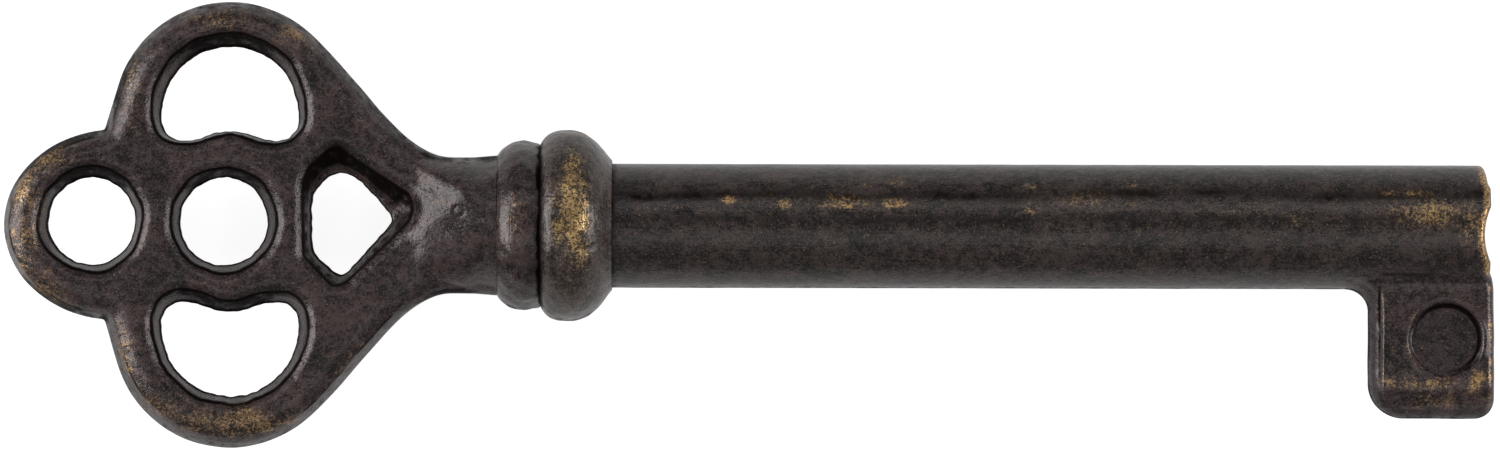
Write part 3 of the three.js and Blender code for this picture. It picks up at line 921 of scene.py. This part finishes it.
barrel_places = places_of(barrel)
at_mouth = np.clip((barrel_places[:, 0] - mouth_place) / mouth_wear_length + 1, 0, 1)
barrel_places[:, 0] -= mouth_wear(barrel_places[:, 1]) * at_mouth
barrel.data.vertices.foreach_set("co", in_frame(barrel_places).ravel())


def cut_from(piece, cutter, sharp_degrees):
    """Cuts one closed shape out of a piece and takes the cutter away."""
    cut = piece.modifiers.new("cut", "BOOLEAN")
    cut.operation = "DIFFERENCE"
    cut.solver = "EXACT"
    cut.object = cutter
    ready = piece.evaluated_get(bpy.context.evaluated_depsgraph_get())
    mesh = bpy.data.meshes.new_from_object(ready)
    piece.modifiers.clear()
    piece.data = mesh
    bpy.data.objects.remove(cutter)
    shade_smooth(mesh, sharp_degrees)


slot_low = np.array([bit_heel_place - fit_gap, -barrel_radius - 1.0, -slot_half])
slot_high = np.array([mouth_place + 1.0, 0.0, slot_half])
slot_corners = [[(slot_low, slot_high)[(n >> axis) & 1][axis] for axis in range(3)] for n in range(8)]
slot_faces = [(0, 2, 3, 1), (4, 5, 7, 6), (0, 1, 5, 4), (2, 6, 7, 3), (0, 4, 6, 2), (1, 3, 7, 5)]
cut_from(barrel, new_piece("slot_cutter", slot_corners, slot_faces, sharp_degrees=30), sharp_degrees=35)


def barrel_wear(points):
    """Gold flecks along the top and at the mouth, dark joint lines, and painted shade and shadow."""
    place, across, height = points.T
    outside = smooth_step(np.linalg.norm(points[:, 1:], axis=1), 2.6, 3.0)
    blotches = lumps(points * [0.5, 1, 1], 1.0, seed=82)
    spotty = patches(points, barrel_spots) * (0.85 + 0.8 * blotches)
    mouth_rub = 0.95 * peak(place, mouth_place - mouth_wear(across) - 0.2, 0.22)
    behind_collar = 0.6 * peak(place, collar_end_place, 0.2)
    # Two painted dark reflection bands run along the top of the barrel.
    wander = 0.25 * lumps(points * [0.2, 0, 0], 1.0, seed=83)
    reflection_bands = 0.5 * peak(across, far_line + wander, 0.36) + 0.36 * peak(across, near_line + wander, 0.3)
    reflection_bands = reflection_bands * np.clip(0.85 + 0.7 * blotches, 0, 1) * (height > 0)
    # A thin line of painted shadow along the near side, as far as the bit.
    near_shadow_line = 0.5 * near_side_shade(points) * (0.8 + 0.6 * blotches) * smooth_step(bit_heel_place - place, 0, 1)
    # A faint dark line marks where the bit's braze ends on the barrel.
    braze_line = 0.7 * peak(across, barrel_braze_end + 0.1 * blotches, 0.09) * (height > 0)
    braze_line = braze_line * smooth_step(place, 69.6, 70.4) * smooth_step(74.2 - place, 0, 2)
    # Painted shade inside the bore, with the dark joint lines and the painted bands and shadow line.
    grime_and_shade = most(behind_collar, reflection_bands, near_shadow_line, braze_line, 0.7 * (1 - outside))
    return most(spotty, mouth_rub) * outside, grime_and_shade


paint(barrel, *barrel_wear(places_of(barrel)))
barrel_patina = patina(
    "barrel_patina", barrel_brown, barrel_gold, shine=0.2, grain=0.03, scratches=drawing_marks)
dress(barrel, barrel_patina, "barrel_brass", "barrel")


# Bit: a plain brass plate with rounded edges and one shallow round sinking in its face. Its root is let
# into a slot in the barrel's mouth and brazed, and the braze leaves a small fillet against the barrel.
bit_front_place = 76.2
bit_foot = -9.79
bit_half = 1.65
heel_radius = 1.8
toe_radius = 1.0
web_radius = 1.15
root_across = -1.0
root_start = -2.5
sinking = (73.69, -5.7)
sinking_radius = 1.84
sinking_depth = 0.22
braze_round = 0.3
bore_cut_start = 66.0
bore_cut_end = 78.0
# The cutter left a thin lip round the sinking, and the file a burr along the heel with a groove beside it.
lip_height = 0.05
burr_height = 0.06

web_place = bit_heel_place - web_radius
web_foot = -barrel_radius - web_radius
heel_middle = (bit_heel_place + heel_radius, bit_foot + heel_radius)
toe_middle = (bit_front_place - toe_radius, bit_foot + toe_radius)
heel_path = np.vstack([
    arc(web_place, web_foot, web_radius, 90, 0, 30),
    arc(*heel_middle, heel_radius, 180, 270, 40),
    arc(*toe_middle, toe_radius, 270, 330, 20),
])
front_path = np.vstack([
    arc(*toe_middle, toe_radius, 330, 360, 10),
    np.array([
        (-0.02, -6.0), (-0.04, -3.2), (-0.1, -2.7), (-0.22, -2.35), (-0.45, -2.05), (-0.6, -1.8),
    ]) + [bit_front_place, 0],
])
bit_heel_path = even_points(heel_path, spacing=0.1)
bit_front_path = softened(even_points(front_path, spacing=0.1), passes=4)
bit_edge = np.vstack([bit_heel_path, bit_front_path[1:]])
bit_inward = left_of(bit_edge)
bit_edge = bit_edge + bit_inward * (0.025 * lumps(flat(bit_edge), 1.5, seed=91))[:, None]
heel_edge = bit_edge[:len(bit_heel_path) + 1]
front_edge = bit_edge[len(bit_heel_path) - 1:]
root_front = bit_edge[-1][0]
root_line = even_points([
    bit_edge[-1], (root_front, root_across), (bit_heel_place, root_across), (bit_heel_place, root_start),
    (web_place - 0.1, root_start), bit_edge[0]], spacing=0.12)
bit_loop = np.vstack([bit_edge, root_line[1:-1]])

# How high the bit's face stands, as a share of its half thickness: in from its heel, in from its front
# edge, and up from its foot, which is filed to a long slope on the face.
side_reach = (0, 0.03, 0.1, 0.3, 0.52, 0.58, 0.65, 0.79, 0.95, 1.2)
side_shares = (0.10, 0.25, 0.42, 0.66, 0.79, 0.82, 0.90, 0.965, 0.99, 1.0)
front_reach = (0, 0.03, 0.1, 0.2, 0.3, 0.4, 0.55)
front_shares = (0.4, 0.68, 0.85, 0.92, 0.963, 0.988, 1.0)
foot_reach = (0, 0.12, 0.35, 0.8, 1.2, 1.45, 1.65, 2.0, 2.3)
foot_shares = (0.12, 0.28, 0.44, 0.70, 0.87, 0.94, 0.972, 0.995, 1.0)


def braze_height(points, face):
    """Raises the face in a small fillet where it meets the barrel's round side."""
    past_lip = np.clip(points[:, 0] - (mouth_place - mouth_round), 0, mouth_round) / mouth_round
    lip = mouth_round * (1 - np.sqrt(1 - past_lip ** 2 * 0.999))
    side = np.sqrt(np.clip((barrel_radius - lip) ** 2 - points[:, 1] ** 2, 0, None)) - 0.04
    merged = (face + side + np.sqrt((face - side) ** 2 + braze_round ** 2)) / 2
    near = smooth_step(points[:, 1], -3.9, -3.0) * smooth_step(bit_front_place - points[:, 0], 0.1, 0.5)
    rooted = smooth_step(points[:, 1], -2.0, -1.75)
    raised = face * (1 - near) + merged * near
    return raised * (1 - rooted) + np.minimum(face, bit_half - 0.01) * rooted


def from_heel(points):
    """How far in from the bit's heel a point lies, measured straight along the key beside the heel's web."""
    return np.where(
        points[:, 1] > web_foot, points[:, 0] - bit_heel_place, distance_to(points, heel_edge))


def between_foot_and_braze(across):
    return smooth_step(across, bit_foot + 1.6, bit_foot + 2.4) * smooth_step(-across, 2.65, 2.9)


def bit_height(points, seed, sunk):
    shares = np.interp(distance_to(points, heel_edge), side_reach, side_shares)
    if sunk:
        above_foot = points[:, 1] - bit_foot + 0.12 * lumps(flat(points), 1.6, seed=93)
        foot = np.interp(above_foot, foot_reach, foot_shares)
        shares = (shares + foot - np.sqrt((shares - foot) ** 2 + 0.06 * (1 - foot))) / 2
    shares = shares * np.interp(distance_to(points, front_edge), front_reach, front_shares)
    rooted = smooth_step(points[:, 1], -2.4, -2.0)
    face = bit_half * (shares * (1 - rooted) + rooted)
    uneven = 0.016 * lumps(flat(points), 2.2, seed) + 0.009 * lumps(flat(points), 0.7, seed + 1)
    face = braze_height(points, face + uneven * shares)
    if sunk:
        inward = from_heel(points)
        burr = peak(inward, 0.76, 0.09) - 0.7 * peak(inward, 0.55, 0.08)
        burr = burr * between_foot_and_braze(points[:, 1])
        face = face + burr_height * burr * (0.8 + 0.6 * lumps(flat(points), 0.7, seed=99))
        out = from_spot(points, sinking) + 0.09 * lumps(flat(points), 1.0, seed=98)
        bowl = smooth_step(sinking_radius - out, -0.1, 0.12) * (1 + 0.15 * lumps(flat(points), 0.9, seed=97))
        face = face - sinking_depth * bowl + lip_height * peak(out, sinking_radius + 0.2, 0.09)
    return np.maximum(face, parting_half)


bit_steps = (0.01, 0.03, 0.07, 0.13, 0.2, 0.28, 0.38, 0.47, 0.54, 0.6, 0.66, 0.72, 0.78, 0.86, 0.98, 1.15)
sinking_steps = (-0.3, -0.2, -0.13, -0.07, -0.01, 0.05, 0.1, 0.15, 0.2, 0.25, 0.3, 0.37)
rings_end = -2.05
bit_rings = np.vstack([bit_edge + bit_inward * step for step in bit_steps])
bit_rings = bit_rings[inside(bit_rings, bit_loop) & (bit_rings[:, 1] < rings_end)]
bit_rings = bit_rings[from_spot(bit_rings, sinking) > sinking_radius + 0.41]
bit_grid = hex_grid((web_place, bit_foot), (bit_front_place, root_across), spacing=0.14)
bit_grid = bit_grid[inside(bit_grid, bit_loop)]
past_rings = distance_to(bit_grid, bit_edge) > bit_steps[-1] + 0.07
bit_grid = bit_grid[past_rings | (bit_grid[:, 1] > rings_end)]
bit_grid = bit_grid[distance_to(bit_grid, bit_loop, closed=True) > 0.07]
grid_out = from_spot(bit_grid, sinking) - sinking_radius
bit_grid = bit_grid[(grid_out < -0.36) | (grid_out > 0.44)]
sinking_rings = [circle(*sinking, sinking_radius + step, count=130) for step in sinking_steps]
bit_plan, bit_triangles = plate_plan(bit_loop, [], np.vstack([bit_rings, bit_grid] + sinking_rings))
bit_count = len(bit_plan)
bit_front = bit_height(bit_plan, seed=92, sunk=True)
bit_back = bit_height(bit_plan, seed=95, sunk=False)
bit_points, bit_faces = two_sided(bit_plan, bit_triangles, bit_front, bit_back)
bit_faces += [[b, a, a + bit_count, b + bit_count] for a, b in open_edges(bit_triangles)]
bit = new_piece("bit_plate", bit_points, bit_faces, sharp_degrees=50)
bore_profile = [
    (bore_cut_start, 0.0), (bore_cut_start, bore_radius), (bore_cut_end, bore_radius), (bore_cut_end, 0.0)]
cut_from(bit, turned("bore_cutter", bore_profile, sides=96), sharp_degrees=50)

foot_gold_across = bit_foot + 1.8
bit_spots = [
    (73.0, foot_gold_across, 2.6, 0.45, 0.58),
    (71.1, foot_gold_across, 0.9, 0.4, 0.72),
    (75.2, foot_gold_across + 0.1, 0.7, 0.9, 0.7),
    (73.8, foot_gold_across - 0.8, 2.4, 0.7, 0.42),
]
bit_braze_end = -2.4
bit_gold = (0.53, 0.34, 0.16)
file_marks = (125, 0.07, 1.8, 0.25)


def bit_wear(points):
    """Gold on the foot, heel and front edge, a painted highlight on the lip, and painted shade in hollows."""
    place, across, height = points.T
    spread = points[:, :2]
    blotches = lumps(flat(spread), 0.7, seed=94)
    to_heel = distance_to(spread, heel_edge)
    to_front = distance_to(spread, front_edge)
    inward = from_heel(spread)
    side_wall = between_foot_and_braze(across)
    sunk_side = smooth_step(height, 0.5, 1.2)
    past_sinking = from_spot(spread, sinking) - sinking_radius
    sinking_turn = np.arctan2(across - sinking[1], place - sinking[0])

    foot_rub = patches(points, bit_spots) * (0.85 + 0.7 * blotches)
    heel_gold = 0.36 + 0.25 * smooth_step(-across, 5.5, 7.5) + 0.3 * blotches
    heel_rub = heel_gold * peak(inward, 0.7, 0.08) * side_wall
    front_gold = 0.36 + 0.16 * smooth_step(-across, 3.5, 5.5) + 0.35 * blotches
    front_rub = front_gold * peak(to_front, 0.24, 0.13) * smooth_step(-across, 2.0, 2.6)
    # A painted highlight on the left side of the sinking's raised lip, carried in the gold layer.
    left_side = smooth_step(-np.cos(sinking_turn), 0.3, 0.9)
    lip_highlight = 0.4 * left_side * peak(past_sinking, 0.2, 0.07) * sunk_side

    # Painted shadow on the sinking's wall, darkest towards its upper right, and painted shade on its floor.
    shaded_side = 0.6 + 0.4 * np.cos(sinking_turn - math.radians(40))
    sinking_wall_shadow = shaded_side * peak(past_sinking, -0.14, 0.13)
    sinking_floor_shade = 0.2 * smooth_step(-past_sinking, 0, 0.3)
    # Painted shade in the groove beside the heel's burr, and a dark joint line where the braze ends.
    groove = (0.7 + 0.45 * blotches) * peak(inward, 0.53, 0.08) * side_wall
    braze_line = (0.55 + 0.4 * blotches) * peak(across, bit_braze_end + 0.12 * blotches, 0.1)
    braze_line = braze_line * smooth_step(place, 69.9, 70.6) * smooth_step(73.8 - place, 0, 2)
    # A painted dark line of shade along the foot's slope.
    foot_line_across = bit_foot + 1.2 + 0.5 * lumps(flat(spread), 1.8, seed=96)
    foot_shade_line = 0.5 * peak(across, foot_line_across, 0.16) * (1 - side_wall) * np.clip(0.8 + blotches, 0, 1)
    on_face = most(sinking_wall_shadow, sinking_floor_shade, braze_line, foot_shade_line) * sunk_side
    # Painted shade over the heel's wall strip, and a darker painted line at its edge.
    heel_shade = most(0.3 * (1 - smooth_step(to_heel, 0.45, 0.6)), 0.7 * peak(to_heel, 0, 0.1))
    return most(foot_rub, heel_rub, front_rub, lip_highlight), most(on_face, groove, heel_shade)


paint(bit, *bit_wear(places_of(bit)))
bit_patina = patina("bit_patina", bow_brown, bit_gold, shine=0.2, grain=0.03, scratches=file_marks)
dress(bit, bit_patina, "bit_brass", "bit")


# Tang pin: a plain drawn brass pin across the joint, hidden under the collar, so it was never patinated.
# The CAD solid is its shape, and only its metal is given here.
pin_yellow = (0.42, 0.31, 0.14)
pin_gold = (0.72, 0.5, 0.22)
pin_marks = (90, 0.1, 2.0, 0.3)
pin_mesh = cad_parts["tang_pin"].data
pin_mesh.materials.clear()
pin_mesh.materials.append(
    patina("pin_brass_plain", pin_yellow, pin_gold, shine=0.3, grain=0.004, scratches=pin_marks))


# Table: the key lies on a white sheet. Its own white fills what the lamps leave, so that the sheet shows
# white and keeps the key's soft shadow, and from below it can be seen through.
sheet_half = 1.5
sheet_grey = (0.5, 0.5, 0.5, 1)
white_added = 0.36
white_added_for_camera = 0.52
table_mesh = bpy.data.meshes.new("table_sheet")
sheet_corners = [(-1, -1), (1, -1), (1, 1), (-1, 1)]
table_mesh.from_pydata([(x * sheet_half, y * sheet_half, 0) for x, y in sheet_corners], [], [(0, 1, 2, 3)])
table = add_object("table_sheet", table_mesh)

table_white = bpy.data.materials.new("table_white")
table_white.use_nodes = True
tree = table_white.node_tree
tree.nodes.clear()
rays = tree.nodes.new("ShaderNodeLightPath").outputs
seen = maths(tree, "MAXIMUM", rays["Is Camera Ray"], rays["Is Glossy Ray"])
seen = maths(tree, "MAXIMUM", seen, rays["Is Transmission Ray"])
white = maths(tree, "MULTIPLY", seen, white_added)
white = maths(tree, "MULTIPLY_ADD", rays["Is Camera Ray"], white_added_for_camera, white)
own_white = add_node(tree, "ShaderNodeEmission", {"Strength": white})
paper = add_node(tree, "ShaderNodeBsdfDiffuse", {"Color": sheet_grey})
together = add_node(tree, "ShaderNodeAddShader", {0: paper.outputs[0], 1: own_white.outputs[0]})
clear = tree.nodes.new("ShaderNodeBsdfTransparent")
from_below = tree.nodes.new("ShaderNodeNewGeometry").outputs["Backfacing"]
either = add_node(tree, "ShaderNodeMixShader", {0: from_below, 1: together.outputs[0], 2: clear.outputs[0]})
add_node(tree, "ShaderNodeOutputMaterial", {"Surface": either.outputs[0]})
table_mesh.materials.append(table_white)


# Light: a dim white room, two soft boxes low at the ends of the key, a narrow one above its far side and
# a wide one above its near side.
room = bpy.data.worlds.new("room")
bpy.context.scene.world = room
room.use_nodes = True
room_light = room.node_tree.nodes["Background"]
room_white = (1, 1, 1, 1)
room_strength = 0.25
room_light.inputs["Color"].default_value = room_white
room_light.inputs["Strength"].default_value = room_strength


def soft_box(name, azimuth, elevation, distance, width, height, radiance):
    """A lamp aimed at the key. Radiance is how bright its face is, where 1 is white."""
    lamp = bpy.data.lights.new(name, "AREA")
    lamp.shape = "RECTANGLE"
    lamp.size, lamp.size_y = width, height
    lamp.energy = radiance * math.pi * width * height
    turn, rise = math.radians(azimuth), math.radians(elevation)
    way = Vector((math.cos(rise) * math.cos(turn), math.cos(rise) * math.sin(turn), math.sin(rise)))
    box = add_object(name, lamp)
    box.location = way * distance
    box.rotation_euler = way.to_track_quat("Z", "Y").to_euler()


soft_box("left_box", azimuth=175, elevation=24, distance=0.5, width=0.42, height=0.3, radiance=4.2)
soft_box("right_box", azimuth=3, elevation=24, distance=0.5, width=0.34, height=0.22, radiance=3.9)
soft_box("far_box", azimuth=90, elevation=51, distance=0.6, width=0.9, height=0.12, radiance=1.2)
soft_box("near_box", azimuth=270, elevation=68, distance=0.7, width=0.9, height=0.3, radiance=0.6)


# Camera: straight above the key with a long lens, turned a hair, as the key lies in the photograph.
picture_width = 1500
pixels_per_mm = 1490 / 76.2
camera_height = 0.7
sensor_width = 36.0
view_width = picture_width / pixels_per_mm * mm
middle_x = 0.00005
camera_roll = 0.12

lens = bpy.data.cameras.new("camera")
lens.sensor_width = sensor_width
lens.lens = sensor_width * camera_height / view_width
lens.clip_start = 0.01
lens.clip_end = 10
camera = add_object("camera", lens)
camera.location = (middle_x, 0, axis_z + camera_height)
camera.rotation_euler = (0, 0, math.radians(camera_roll))
bpy.context.scene.camera = camera
bpy.context.scene.view_settings.view_transform = "Standard"
